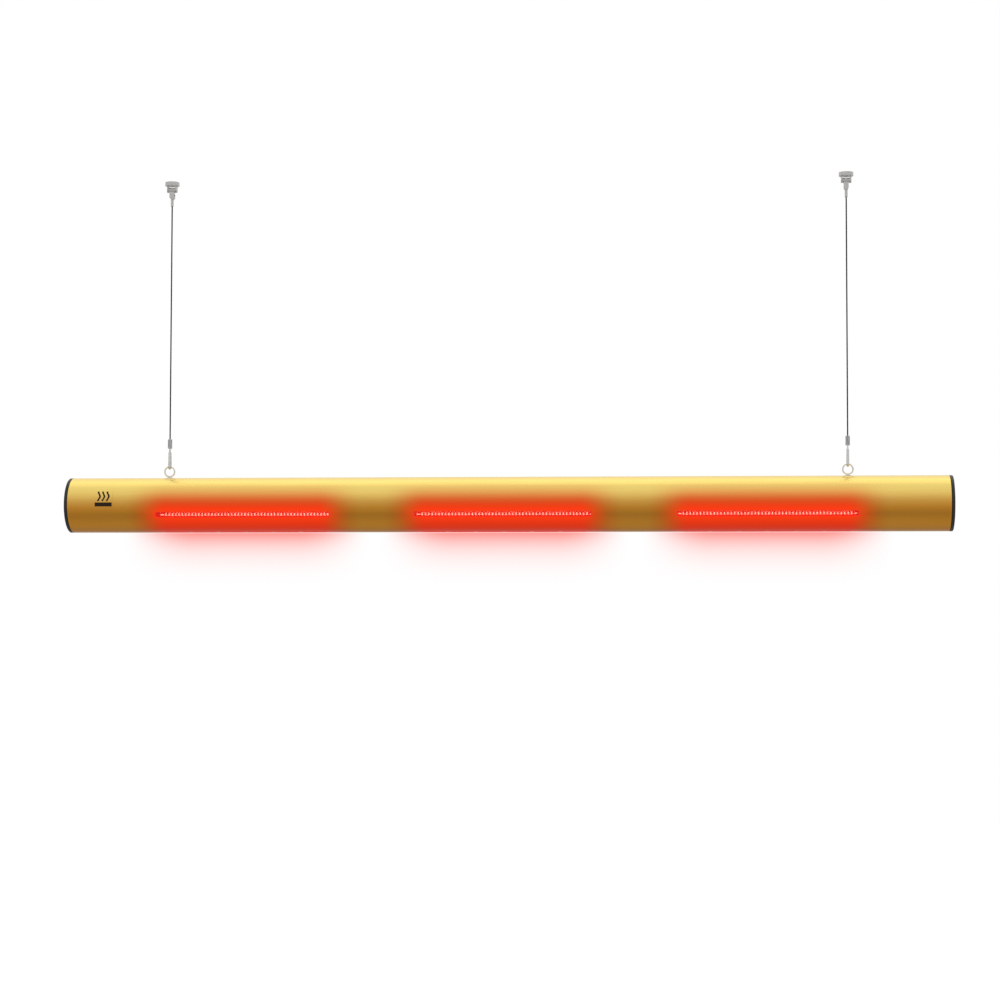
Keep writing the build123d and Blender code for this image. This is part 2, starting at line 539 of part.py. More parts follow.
for number, lamp_x in enumerate(LAMP_X, 1):
    with BuildPart() as quartz:
        with BuildSketch(section(lamp_x - QUARTZ_HALF)):
            with Locations((0, LAMP_Z)):
                Circle(QUARTZ_D / 2)
                Circle(QUARTZ_D / 2 - QUARTZ_WALL, mode=Mode.SUBTRACT)
        extrude(amount=QUARTZ_LENGTH)
    quartz.part.label = f"lamp_{number}_quartz"
    export_step(quartz.part, f"parts/lamp_{number}_quartz.step")

    # The coil fills its cylinder, and its straight tails reach both ends of the quartz.
    with BuildPart() as coil:
        with BuildSketch(section(lamp_x - COIL_LENGTH / 2)):
            with Locations((0, LAMP_Z)):
                Circle(COIL_D / 2)
        extrude(amount=COIL_LENGTH)
        with BuildSketch(section(lamp_x - QUARTZ_HALF)):
            with Locations((0, LAMP_Z)):
                Circle(COIL_TAIL_D / 2)
        extrude(amount=QUARTZ_LENGTH)
    coil.part.label = f"lamp_{number}_coil"
    export_step(coil.part, f"parts/lamp_{number}_coil.step")

    with BuildPart() as reflector:
        middle = (REFLECTOR_FRONT + REFLECTOR_REAR) / 2
        half = (REFLECTOR_FRONT - REFLECTOR_REAR) / 2
        with BuildSketch(section(lamp_x - REFLECTOR_LENGTH / 2)):
            with BuildLine():
                skins = []
                for radius in (REFLECTOR_RADIUS - REFLECTOR_SHEET, REFLECTOR_RADIUS):
                    skins.append(CenterArc((0, LAMP_Z), radius, middle - half, 2 * half))
                Line(skins[0] @ 0, skins[1] @ 0)
                Line(skins[0] @ 1, skins[1] @ 1)
            make_face()
        extrude(amount=REFLECTOR_LENGTH)
    reflector.part.label = f"reflector_{number}"
    export_step(reflector.part, f"parts/reflector_{number}.step")

    # The sprung contact pushes the lamp to the right and gives way to the left.
    with BuildPart() as contact:
        with BuildSketch(section(lamp_x - CONTACT_FACE)):
            with Locations((0, LAMP_Z)):
                Circle(CONTACT_HEAD_D / 2)
        extrude(amount=-CONTACT_HEAD)
        with BuildSketch(section(lamp_x - CONTACT_BACK)):
            with Locations((0, LAMP_Z)):
                Circle(CONTACT_STEM_D / 2)
        extrude(amount=-CONTACT_STEM)
    contact.part.label = f"lamp_{number}_contact"
    export_step(contact.part, f"parts/lamp_{number}_contact.step")

    with BuildPart() as window:
        with BuildSketch(section(lamp_x - WINDOW_LENGTH / 2 + FIT)):
            sector(BORE_R, TUBE_R, WINDOW_MIDDLE, WINDOW_HALF - FIT_ANGLE)
        extrude(amount=WINDOW_LENGTH - 2 * FIT)
    window.part.label = f"window_glass_{number}"
    export_step(window.part, f"parts/window_glass_{number}.step")

    # The guard's face is flush with the tube and its flanges lap the inside of the opening.
    with BuildPart() as guard:
        pan_length = GUARD_LENGTH - 2 * FIT
        pan_half = GUARD_HALF_ANGLE - FIT_ANGLE
        flange_r = BORE_R - GUARD_SHEET
        flange_length = GUARD_LENGTH + 2 * GUARD_LAP
        with BuildSketch(section(lamp_x - flange_length / 2)):
            sector(flange_r, BORE_R, BOTTOM_ANGLE, GUARD_FLANGE_ANGLE)
        extrude(amount=flange_length)
        with BuildSketch(section(lamp_x - pan_length / 2)):
            sector(flange_r, TUBE_R, BOTTOM_ANGLE, pan_half)
        extrude(amount=pan_length)
        with BuildSketch(section(lamp_x - pan_length / 2 + GUARD_SHEET)):
            sheet_angle = degrees(GUARD_SHEET / BORE_R)
            sector(flange_r - OVERCUT, TUBE_R - GUARD_SHEET, BOTTOM_ANGLE, pan_half - sheet_angle)
        extrude(amount=pan_length - 2 * GUARD_SHEET, mode=Mode.SUBTRACT)
        step = (pan_length - 2 * GUARD_SHEET) / GUARD_SLOTS
        for place in range(GUARD_SLOTS):
            slot_x = lamp_x + (place - (GUARD_SLOTS - 1) / 2) * step
            with BuildSketch(section(slot_x - GUARD_SLOT_LENGTH / 2)):
                for row_angle in SLOT_ROWS:
                    sector(flange_r, TUBE_R + OVERCUT, row_angle, SLOT_ANGLE)
            extrude(amount=GUARD_SLOT_LENGTH, mode=Mode.SUBTRACT)
        for end in (-1, 1):
            with BuildSketch(level(lamp_x + end * GUARD_SCREW_X, 0, -BORE_R - OVERCUT)):
                Circle(GUARD_SCREW_D / 2)
            extrude(amount=GUARD_SHEET + 2 * OVERCUT, mode=Mode.SUBTRACT)
    guard.part.label = f"guard_grille_{number}"
    export_step(guard.part, f"parts/guard_grille_{number}.step")

with BuildPart() as lamp_bases:
    for lamp_x in LAMP_X:
        for side in SIDES.values():
            with BuildSketch(section(lamp_x + side * BASE_START)):
                with Locations((0, LAMP_Z)):
                    Circle(BASE_CERAMIC_D / 2)
            extrude(amount=side * BASE_CERAMIC_LENGTH)
            with BuildSketch(section(lamp_x + side * BASE_START)):
                with Locations((0, LAMP_Z)):
                    Circle(QUARTZ_D / 2)
            extrude(amount=side * BASE_BORE_DEPTH, mode=Mode.SUBTRACT)
            with BuildSketch(section(lamp_x + side * BASE_END)):
                with Locations((0, LAMP_Z)):
                    Circle(BUTTON_D / 2)
            extrude(amount=side * BUTTON_LENGTH)
lamp_bases.part.label = "lamp_bases"
export_step(lamp_bases.part, "parts/lamp_bases.step")

SOCKET_FACE = {-1: SPRUNG_FACE, 1: BUTTON_END}

with BuildPart() as lamp_sockets:
    for lamp_x in LAMP_X:
        for side, face in SOCKET_FACE.items():
            with BuildSketch(section(lamp_x + side * face)):
                with Locations((0, SOCKET_TOP - SOCKET_HEIGHT / 2)):
                    RectangleRounded(SOCKET_WIDTH, SOCKET_HEIGHT, SOCKET_CORNER)
            extrude(amount=side * SOCKET_LENGTH)
        with BuildSketch(section(lamp_x - SPRUNG_FACE)):
            with Locations((0, LAMP_Z)):
                Circle(CONTACT_STEM_D / 2 + RUN)
        extrude(amount=-(CONTACT_STEM + RUN), mode=Mode.SUBTRACT)
lamp_sockets.part.label = "lamp_sockets"
export_step(lamp_sockets.part, "parts/lamp_sockets.step")

with BuildPart() as socket_brackets:
    for lamp_x in LAMP_X:
        for side, face in SOCKET_FACE.items():
            start = lamp_x + side * (face + SOCKET_LENGTH)
            bottom = LAMP_Z - SOCKET_HANG
            with BuildSketch(section(start)):
                with Locations((0, (bottom + WEB_UNDER) / 2)):
                    Rectangle(BRACKET_WIDTH, WEB_UNDER - bottom)
            extrude(amount=side * BRACKET_SHEET)
            with BuildSketch(section(start)):
                with Locations((0, WEB_UNDER - BRACKET_SHEET / 2)):
                    Rectangle(BRACKET_WIDTH, BRACKET_SHEET)
            extrude(amount=side * BRACKET_FOOT)
socket_brackets.part.label = "socket_brackets"
export_step(socket_brackets.part, "parts/socket_brackets.step")

# ---------------------------------------------------------------- reflector mounts and shields

with BuildPart() as reflector_studs:
    for lamp_x in LAMP_X:
        for side in SIDES.values():
            with BuildSketch(level(lamp_x + side * STUD_SPACING / 2, 0, LAMP_Z + REFLECTOR_RADIUS)):
                Circle(STUD_D / 2)
            extrude(amount=WEB_UNDER - LAMP_Z - REFLECTOR_RADIUS)
reflector_studs.part.label = "reflector_studs"
export_step(reflector_studs.part, "parts/reflector_studs.step")

with BuildPart() as heat_shields:
    for lamp_x in LAMP_X:
        with BuildSketch(level(lamp_x, 0, SHIELD_Z)):
            Rectangle(REFLECTOR_LENGTH, SHIELD_WIDTH)
            with Locations((-STUD_SPACING / 2, 0), (STUD_SPACING / 2, 0)):
                Circle(STUD_D / 2, mode=Mode.SUBTRACT)
        extrude(amount=SHIELD_SHEET)
heat_shields.part.label = "heat_shields"
export_step(heat_shields.part, "parts/heat_shields.step")

LAP_ANGLE = degrees(RETAINER_LAP / BORE_R)
SEAT_ANGLE = degrees(GLASS_SEAT / BORE_R)
with BuildPart() as window_retainers:
    for lamp_x in LAMP_X:
        outer_length = WINDOW_LENGTH + 2 * RETAINER_LAP
        with BuildSketch(section(lamp_x - outer_length / 2)):
            sector(BORE_R - RETAINER_SHEET, BORE_R, WINDOW_MIDDLE, WINDOW_HALF + LAP_ANGLE)
        extrude(amount=outer_length)
        inner_length = WINDOW_LENGTH - 2 * GLASS_SEAT
        with BuildSketch(section(lamp_x - inner_length / 2)):
            cut_r = BORE_R - RETAINER_SHEET - OVERCUT
            sector(cut_r, BORE_R + OVERCUT, WINDOW_MIDDLE, WINDOW_HALF - SEAT_ANGLE)
        extrude(amount=inner_length, mode=Mode.SUBTRACT)
window_retainers.part.label = "window_retainers"
export_step(window_retainers.part, "parts/window_retainers.step")

with BuildPart() as guard_screws:
    for lamp_x in LAMP_X:
        for end in (-1, 1):
            screw_x = lamp_x + end * GUARD_SCREW_X
            with BuildSketch(level(screw_x, 0, GUARD_SCREW_SINK - TUBE_R)):
                Circle(GUARD_SCREW_HEAD_D / 2)
            extrude(amount=TUBE_WALL - GUARD_SCREW_SINK)
            with BuildSketch(level(screw_x, 0, -BORE_R)):
                Circle(GUARD_SCREW_D / 2)
            extrude(amount=GUARD_SCREW_LENGTH - TUBE_WALL)
guard_screws.part.label = "guard_screws"
export_step(guard_screws.part, "parts/guard_screws.step")

# ---------------------------------------------------------------- electrical pieces

with BuildPart() as terminal_block:
    with BuildSketch(level(BLOCK_X, 0, WEB_UNDER - BLOCK_HEIGHT)):
        Rectangle(BLOCK_LENGTH, BLOCK_WIDTH)
    extrude(amount=BLOCK_HEIGHT)
    for end in (-1, 1):
        with BuildSketch(section(BLOCK_X + end * BLOCK_LENGTH / 2)):
            with Locations((0, WEB_UNDER - BLOCK_HEIGHT / 2)):
                with GridLocations(LEAD_PITCH, 0, 2, 1):
                    Circle(LEAD_D / 2)
        extrude(amount=-end * LEAD_ENTRY, mode=Mode.SUBTRACT)
terminal_block.part.label = "terminal_block"
export_step(terminal_block.part, "parts/terminal_block.step")

LEAD_X = [x + side * (face + SOCKET_LENGTH / 2) for x in LAMP_X for side, face in SOCKET_FACE.items()]

with BuildPart() as wiring_harness:
    with BuildSketch(section(min(LEAD_X) - HARNESS_D)):
        with Locations((HARNESS_Y, HARNESS_Z)):
            Circle(HARNESS_D / 2)
    extrude(amount=BLOCK_X - BLOCK_LENGTH / 2 - min(LEAD_X) + HARNESS_D)
wiring_harness.part.label = "wiring_harness"
export_step(wiring_harness.part, "parts/wiring_harness.step")

with BuildPart() as lamp_leads:
    for lead_x in LEAD_X:
        top = HARNESS_Z - HARNESS_D / 2
        with BuildLine(section(lead_x)) as lead_path:
            FilletPolyline(
                (HARNESS_Y, top),
                (HARNESS_Y, SOCKET_TOP + LEAD_RISE),
                (LEAD_SOCKET_Y, SOCKET_TOP + LEAD_STRAIGHT),
                (LEAD_SOCKET_Y, SOCKET_TOP),
                radius=LEAD_BEND,
            )
        with BuildSketch(level(lead_x, HARNESS_Y, top)):
            Circle(LEAD_D / 2)
        sweep(path=lead_path.line)
lamp_leads.part.label = "lamp_leads"
export_step(lamp_leads.part, "parts/lamp_leads.step")

# ---------------------------------------------------------------- cable gland

GLAND_SEAT = sqrt(TUBE_R**2 - (abs(GLAND_Z) + GLAND_HEX / 2) ** 2)
GLAND_START = BORE_R - GLAND_THREAD_IN
GLAND_END = TUBE_R + GLAND_COLLAR_RISE + GLAND_COLLAR_LENGTH

with BuildPart() as gland_body:
    with BuildSketch(facing(BLOCK_X, GLAND_START, AXIS_Z + GLAND_Z)):
        Circle(GLAND_THREAD_D / 2)
    extrude(amount=GLAND_END - GLAND_START + GLAND_THREAD_OUT)
    with BuildSketch(facing(BLOCK_X, GLAND_SEAT, AXIS_Z + GLAND_Z)):
        Circle(GLAND_HEX / 2)
    extrude(amount=GLAND_END - GLAND_SEAT)
    # The collar's seat is cut to the tube, then the thread goes back through it.
    with Locations(Location((BLOCK_X, 0, AXIS_Z), (0, 90, 0))):
        Cylinder(TUBE_R, 3 * GLAND_HEX, mode=Mode.SUBTRACT)
    with BuildSketch(facing(BLOCK_X, GLAND_START, AXIS_Z + GLAND_Z)):
        Circle(GLAND_THREAD_D / 2)
    extrude(amount=GLAND_SEAT - GLAND_START + GLAND_COLLAR_LENGTH)
    with BuildSketch(facing(BLOCK_X, 0, AXIS_Z + GLAND_Z)):
        Circle(GLAND_BORE_D / 2)
    extrude(amount=2 * TUBE_R, mode=Mode.SUBTRACT)
gland_body.part.label = "gland_body"
export_step(gland_body.part, "parts/gland_body.step")

LOCKNUT_OUT = sqrt(BORE_R**2 - (abs(GLAND_Z) + GLAND_HEX / 2 + GLAND_NUT_CORNER) ** 2)
with BuildPart() as gland_locknut:
    with BuildSketch(facing(BLOCK_X, LOCKNUT_OUT - GLAND_NUT_HEIGHT, AXIS_Z + GLAND_Z)):
        RegularPolygon(GLAND_HEX / 2, 6, major_radius=False)
        Circle(GLAND_THREAD_D / 2, mode=Mode.SUBTRACT)
    extrude(amount=GLAND_NUT_HEIGHT)
gland_locknut.part.label = "gland_locknut"
export_step(gland_locknut.part, "parts/gland_locknut.step")

with BuildPart() as gland_dome_nut:
    with BuildSketch(facing(BLOCK_X, GLAND_END, AXIS_Z + GLAND_Z)):
        RegularPolygon(GLAND_HEX / 2, 6, major_radius=False)
    extrude(amount=GLAND_DOME_LENGTH)
    fillet(gland_dome_nut.faces().sort_by(Axis.Y)[-1].edges(), GLAND_DOME_EDGE)
    with BuildSketch(facing(BLOCK_X, GLAND_END, AXIS_Z + GLAND_Z)):
        Circle(GLAND_THREAD_D / 2)
    extrude(amount=GLAND_DOME_LENGTH - GLAND_DOME_FLOOR, mode=Mode.SUBTRACT)
    with BuildSketch(facing(BLOCK_X, GLAND_END, AXIS_Z + GLAND_Z)):
        Circle(GLAND_BORE_D / 2)
    extrude(amount=GLAND_DOME_LENGTH, mode=Mode.SUBTRACT)
gland_dome_nut.part.label = "gland_dome_nut"
export_step(gland_dome_nut.part, "parts/gland_dome_nut.step")

with BuildPart() as gland_seal:
    with BuildSketch(facing(BLOCK_X, GLAND_END + GLAND_SEAL_GAP, AXIS_Z + GLAND_Z)):
        Circle(GLAND_THREAD_D / 2 - FIT)
        Circle(GLAND_BORE_D / 2, mode=Mode.SUBTRACT)
    extrude(amount=GLAND_DOME_LENGTH - GLAND_DOME_FLOOR - GLAND_SEAL_GAP - FIT)
gland_seal.part.label = "gland_seal"
export_step(gland_seal.part, "parts/gland_seal.step")

# ---------------------------------------------------------------- badge

with BuildPart() as badge:
    with BuildSketch(section(BADGE_X - BADGE_WIDTH / 2)):
        sector(TUBE_R, TUBE_R + BADGE_THICK, angle_of(BADGE_Z), degrees(BADGE_HEIGHT / 2 / TUBE_R))
    extrude(amount=BADGE_WIDTH)
badge.part.label = "badge"
export_step(badge.part, "parts/badge.step")
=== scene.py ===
import math

import bmesh
import bpy
from mathutils import Matrix, Vector


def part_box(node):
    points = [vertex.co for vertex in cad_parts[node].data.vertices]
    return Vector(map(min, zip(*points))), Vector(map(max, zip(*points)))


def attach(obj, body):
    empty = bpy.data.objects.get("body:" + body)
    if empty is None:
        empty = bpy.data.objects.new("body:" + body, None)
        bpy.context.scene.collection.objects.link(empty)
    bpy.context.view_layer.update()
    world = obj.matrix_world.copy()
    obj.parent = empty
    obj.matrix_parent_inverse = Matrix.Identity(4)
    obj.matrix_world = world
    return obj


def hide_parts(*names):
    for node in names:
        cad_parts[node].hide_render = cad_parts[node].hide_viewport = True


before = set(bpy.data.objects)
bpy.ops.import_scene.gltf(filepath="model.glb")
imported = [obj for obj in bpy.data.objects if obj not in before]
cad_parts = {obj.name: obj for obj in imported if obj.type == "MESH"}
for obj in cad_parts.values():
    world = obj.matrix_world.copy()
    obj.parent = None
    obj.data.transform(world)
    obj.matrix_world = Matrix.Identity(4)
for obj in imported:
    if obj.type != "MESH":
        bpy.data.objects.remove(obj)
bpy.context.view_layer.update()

# ---------------------------------------------------------------- places, from the frame

LAMPS = (1, 2, 3)
SIDES = ("left", "right")
tube_low, tube_high = (Vector(corner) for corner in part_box("tube_housing"))
AXIS_Z = (tube_low.z + tube_high.z) / 2
TUBE_R = (tube_high.y - tube_low.y) / 2
COIL_TURNS = 50
COIL_HALF = 0.1165  # half the length of a coil's turns


def middle(node):
    low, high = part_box(node)
    return (Vector(low) + Vector(high)) / 2


def extent(node):
    low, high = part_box(node)
    return Vector(high) - Vector(low)


LAMP_X = [middle(f"lamp_{n}_quartz").x for n in LAMPS]
LAMP_Z = middle("lamp_1_quartz").z

# ---------------------------------------------------------------- shader helpers


class Shader:
    """A material's node tree, built up by short calls."""

    def __init__(self, name, tree=None):
        self.material = None
        if tree is None:
            self.material = bpy.data.materials.new(name)
            self.material.use_nodes = True
            tree = self.material.node_tree
        self.tree = tree
        self.tree.nodes.clear()

    def node(self, kind, inputs=None, **settings):
        made = self.tree.nodes.new(kind)
        for key, value in settings.items():
            setattr(made, key, value)
        for key, value in (inputs or {}).items():
            self.feed(made, key, value)
        return made

    def feed(self, node, key, value):
        if isinstance(value, bpy.types.NodeSocket):
            self.tree.links.new(value, node.inputs[key])
        else:
            node.inputs[key].default_value = value

    def math(self, operation, *values):
        made = self.node("ShaderNodeMath", operation=operation)
        for place, value in enumerate(values):
            self.feed(made, place, value)
        return made.outputs[0]

    def ramp(self, value, low, high, start=0.0, end=1.0):
        """Runs smoothly from start to end as value runs from low to high."""
        inputs = {"Value": value, "From Min": low, "From Max": high, "To Min": start, "To Max": end}
        return self.node("ShaderNodeMapRange", inputs, interpolation_type="SMOOTHSTEP").outputs[0]

    def mix(self, factor, first, second):
        made = self.node("ShaderNodeMix", data_type="RGBA")
        self.feed(made, 0, factor)
        self.feed(made, 6, first)
        self.feed(made, 7, second)
        return made.outputs[2]

    def place(self):
        """Object coordinates, as x, y and z outputs."""
        coordinates = self.node("ShaderNodeTexCoord")
        return self.node("ShaderNodeSeparateXYZ", {0: coordinates.outputs["Object"]}).outputs

    def noise(self, scale, detail=3.0, stretch=(1, 1, 1)):
        coordinates = self.node("ShaderNodeTexCoord")
        mapping = self.node("ShaderNodeMapping", {"Vector": coordinates.outputs["Object"], "Scale": stretch})
        return self.node(
            "ShaderNodeTexNoise", {"Vector": mapping.outputs[0], "Scale": scale, "Detail": detail}
        ).outputs["Fac"]

    def bump(self, height, strength, distance):
        inputs = {"Height": height, "Strength": strength, "Distance": distance}
        return self.node("ShaderNodeBump", inputs).outputs[0]

    def principled(self, **inputs):
        named = {key.replace("_", " "): value for key, value in inputs.items()}
        return self.node("ShaderNodeBsdfPrincipled", named)

    def finish(self, shader):
        self.node("ShaderNodeOutputMaterial", {"Surface": shader})
        return self.material


def rgb(red, green, blue):
    return (red, green, blue, 1.0)


def metal(name, light, dark, roughness, grain=400.0, stretch=(1, 1, 1), strength=0.15):
    """Bare or plated metal: fine grain in its colour, roughness and bump."""
    s = Shader(name)
    speckle = s.noise(grain, 4.0, stretch)
    patches = s.noise(30.0, 2.0)
    colour = s.mix(s.ramp(speckle, 0.3, 0.7), dark, light)
    rough = s.ramp(patches, 0.3, 0.7, roughness * 0.8, roughness * 1.25)
    normal = s.bump(speckle, strength, 0.0001)
    return s.finish(s.principled(Base_Color=colour, Metallic=1.0, Roughness=rough, Normal=normal).outputs[0])


def moulded(name, light, dark, roughness, grain=900.0, strength=0.2):
    """Moulded plastic, rubber or ceramic: a fine texture over a slightly uneven colour."""
    s = Shader(name)
    texture = s.noise(grain, 2.0)
    patches = s.noise(25.0, 3.0)
    colour = s.mix(s.ramp(patches, 0.3, 0.7), dark, light)
    rough = s.ramp(texture, 0.3, 0.7, roughness * 0.85, roughness * 1.15)
    normal = s.bump(texture, strength, 0.0002)
    return s.finish(s.principled(Base_Color=colour, Roughness=rough, Normal=normal).outputs[0])


# ---------------------------------------------------------------- gold, paler on top as painted highlight and deeper below as painted shade, with the lamps' red light painted round each lamp

# Painted light on the gold: a pale gold on top as painted highlight, a deeper gold lower down as painted shade.
GOLD_PAINTED_HIGHLIGHT = rgb(0.95, 0.72, 0.20)
GOLD_PAINTED_SHADE = rgb(0.80, 0.34, 0.035)
# Painted lamp light: how far the red glow painted on the gold reaches.
PAINTED_GLOW_REACH = 0.052  # along the tube, past the ends of a coil


def lamp_painted_glow(s, x, y, z):
    """How strongly the lamps' red light is painted on the surface: all along each coil, most below it, none at
    the back.
    """
    nearest = None
    for lamp_x in LAMP_X:
        past_end = s.math("SUBTRACT", s.math("ABSOLUTE", s.math("SUBTRACT", x, lamp_x)), COIL_HALF)
        nearest = past_end if nearest is None else s.math("MINIMUM", nearest, past_end)
    along = s.ramp(nearest, -0.012, PAINTED_GLOW_REACH, 1.0, 0.0)
    up = s.ramp(z, AXIS_Z - 0.010, AXIS_Z + 0.034, 1.0, 0.0)
    front = s.ramp(y, 0.004, 0.030, 1.0, 0.0)
    return s.math("MULTIPLY", s.math("MULTIPLY", along, up), front)


def gold_material(name, printed=False):
    s = Shader(name)
    x, y, z = s.place()
    # Fine lines run along the tube, as it is drawn, under a clear coat.
    lines = s.noise(900.0, 3.0, (0.02, 1, 1))
    speckle = s.noise(2600.0, 2.0)
    patches = s.noise(9.0, 3.0, (0.3, 1, 1))
    # Painted highlight and shade: the gold runs from the deep low colour to the pale top colour with height on
    # the tube.
    height = s.ramp(z, AXIS_Z - 0.010, AXIS_Z + 0.024)
    colour = s.mix(height, GOLD_PAINTED_SHADE, GOLD_PAINTED_HIGHLIGHT)
    colour = s.mix(s.ramp(lines, 0.25, 0.75, 0.0, 0.10), colour, rgb(0.62, 0.40, 0.10))
    rough = s.math("ADD", s.ramp(patches, 0.3, 0.7, 0.25, 0.31), s.ramp(lines, 0.3, 0.7, 0.0, 0.05))
    if printed:
        ink = badge_ink(s, x, z)
        colour = s.mix(ink, colour, rgb(0.045, 0.030, 0.020))
        rough = s.math("ADD", rough, s.math("MULTIPLY", ink, 0.25))
    normal = s.bump(s.math("ADD", lines, s.math("MULTIPLY", speckle, 0.4)), 0.10, 0.00008)
    # Painted lamp light: near each lamp the gold is mixed towards red and given a red emission, strongest in a
    # strip at the lamps' height, as a painted glow of the lamps' light on the tube.
    painted_glow = lamp_painted_glow(s, x, y, z)
    colour = s.mix(s.math("MULTIPLY", painted_glow, 0.97), colour, rgb(0.80, 0.030, 0.004))
    off_row = s.math("DIVIDE", s.math("SUBTRACT", z, LAMP_Z - 0.001), 0.0125)
    row = s.math("EXPONENT", s.math("MULTIPLY", s.math("MULTIPLY", off_row, off_row), -1.0))
    painted_glow_strength = s.math("MULTIPLY", s.math("MULTIPLY", painted_glow, painted_glow), s.math("ADD", s.math("MULTIPLY", row, 0.42), 0.24))
    bsdf = s.principled(
        Base_Color=colour, Metallic=1.0, Roughness=rough, Normal=normal, Coat_Weight=0.08, Coat_Roughness=0.12,
        Emission_Color=rgb(1.0, 0.045, 0.008), Emission_Strength=painted_glow_strength,
    )
    return s.finish(bsdf.outputs[0])


def badge_ink(s, x, z):
    """A generic printed mark: three rising heat waves over a bar, in a rounded outline."""
    centre = middle("badge")
    across = s.math("SUBTRACT", x, centre.x)
    up = s.math("SUBTRACT", z, centre.z)
    inked = None
    sway = s.math("MULTIPLY", s.math("SINE", s.math("MULTIPLY", up, 480.0)), 0.0013)
    tall = s.math("LESS_THAN", s.math("ABSOLUTE", s.math("SUBTRACT", up, 0.0036)), 0.0068)
    for shift in (-0.0062, 0.0, 0.0062):
        off = s.math("ABSOLUTE", s.math("SUBTRACT", s.math("SUBTRACT", across, shift), sway))
        wave = s.math("MULTIPLY", s.math("LESS_THAN", off, 0.0013), tall)
        inked = wave if inked is None else s.math("MAXIMUM", inked, wave)
    low = s.math("LESS_THAN", s.math("ABSOLUTE", s.math("ADD", up, 0.0078)), 0.0028)
    wide = s.math("LESS_THAN", s.math("ABSOLUTE", across), 0.0120)
    return s.math("MAXIMUM", inked, s.math("MULTIPLY", low, wide))


# ---------------------------------------------------------------- glass, lamp and other materials


def clear_material(name, tint, shine, painted_glow=None):
    """Thin glass: light passes straight through it with a tint, under a gloss.

    A painted glow, which makes the glass shine as though lit, is its colour, its strength and the share of the
    surface that it takes when seen square on.
    """
    s = Shader(name)
    ripple = s.noise(60.0, 2.0, (0.1, 1, 1))
    normal = s.bump(ripple, 0.08, 0.0002)
    through = s.node("ShaderNodeBsdfTransparent", {"Color": tint}).outputs[0]
    settings = dict(Base_Color=shine, Roughness=s.ramp(ripple, 0.3, 0.7, 0.05, 0.12), Normal=normal)
    if painted_glow:
        settings.update(Emission_Color=painted_glow[0], Emission_Strength=painted_glow[1])
    surface = s.principled(**settings).outputs[0]
    share = s.node("ShaderNodeLayerWeight", {"Blend": 0.35}).outputs["Fresnel"]
    share = s.ramp(share, 0.0, 1.0, painted_glow[2] if painted_glow else 0.12, 1.0)
    return s.finish(s.node("ShaderNodeMixShader", {0: share, 1: through, 2: surface}).outputs[0])


def coil_material():
    """White-hot turns, a little cooler where the noise dips, and darkened at their backs by painted shade."""
    s = Shader("lamp_coil_hot")
    uneven_glow_and_painted_back_shade = s.ramp(s.noise(220.0, 2.0), 0.3, 0.7, 9.0, 10.5)
    # Painted shade: the back half of each turn is dimmed to 0.12 of its glow.
    uneven_glow_and_painted_back_shade = s.math("MULTIPLY", uneven_glow_and_painted_back_shade, s.ramp(s.place()[1], -0.0006, 0.0004, 1.0, 0.12))
    bsdf = s.principled(
        Base_Color=rgb(0.4, 0.1, 0.05), Roughness=0.6,
        Emission_Color=rgb(1.0, 0.56, 0.48), Emission_Strength=uneven_glow_and_painted_back_shade,
    )
    return s.finish(bsdf.outputs[0])


MATERIALS = {
    "gold": gold_material("gold_satin"),
    "badge": gold_material("badge_printed", printed=True),
    "black": moulded("cap_black", rgb(0.010, 0.010, 0.010), rgb(0.005, 0.005, 0.005), 0.42),
    "cable": metal("cable_strand", rgb(0.07, 0.07, 0.072), rgb(0.035, 0.035, 0.036), 0.38, 900.0),
    "light": metal("zinc_light", rgb(0.88, 0.87, 0.84), rgb(0.70, 0.69, 0.66), 0.32, 600.0),
    "eye": metal("eye_nickel", rgb(0.95, 0.90, 0.82), rgb(0.80, 0.75, 0.66), 0.25, 600.0),
    "ferrule": metal(
        "ferrule_pressed", rgb(0.62, 0.62, 0.63), rgb(0.40, 0.40, 0.41), 0.42, 500.0, (1, 1, 0.3), 0.3
    ),
    "coupler": metal("coupler_nickel", rgb(0.72, 0.71, 0.69), rgb(0.58, 0.57, 0.56), 0.28, 700.0),
    "screw": metal("screw_zinc", rgb(0.60, 0.60, 0.61), rgb(0.45, 0.45, 0.46), 0.35, 700.0),
    "rail": metal("rail_galvanised", rgb(0.66, 0.66, 0.68), rgb(0.48, 0.48, 0.50), 0.45, 120.0),
    "mirror": metal("reflector_bright", rgb(0.62, 0.56, 0.52), rgb(0.50, 0.44, 0.40), 0.45, 500.0, (0.05, 1, 1)),
    "ceramic": moulded("ceramic_cream", rgb(0.80, 0.77, 0.70), rgb(0.70, 0.66, 0.58), 0.55),
    "contact": metal("contact_nickel", rgb(0.80, 0.66, 0.40), rgb(0.66, 0.52, 0.28), 0.30, 700.0),
    "sleeve": moulded("sleeve_glass_fibre", rgb(0.72, 0.70, 0.62), rgb(0.52, 0.50, 0.43), 0.8, 1600.0, 0.6),
    "plastic": moulded("gland_black", rgb(0.035, 0.035, 0.036), rgb(0.020, 0.020, 0.021), 0.38),
    "rubber": moulded("seal_rubber", rgb(0.030, 0.030, 0.030), rgb(0.018, 0.018, 0.018), 0.7),
    # The ruby window is given a painted red glow by emission, standing in for the lamps' light seen through it.
    "ruby": clear_material(
        "window_ruby", rgb(1.0, 0.50, 0.46), rgb(0.30, 0.004, 0.002), painted_glow=(rgb(1.0, 0.032, 0.011), 0.9, 0.30)
    ),
    "quartz": clear_material("quartz_clear", rgb(0.98, 0.97, 0.97), rgb(0.9, 0.9, 0.9)),
    "coil": coil_material(),
}

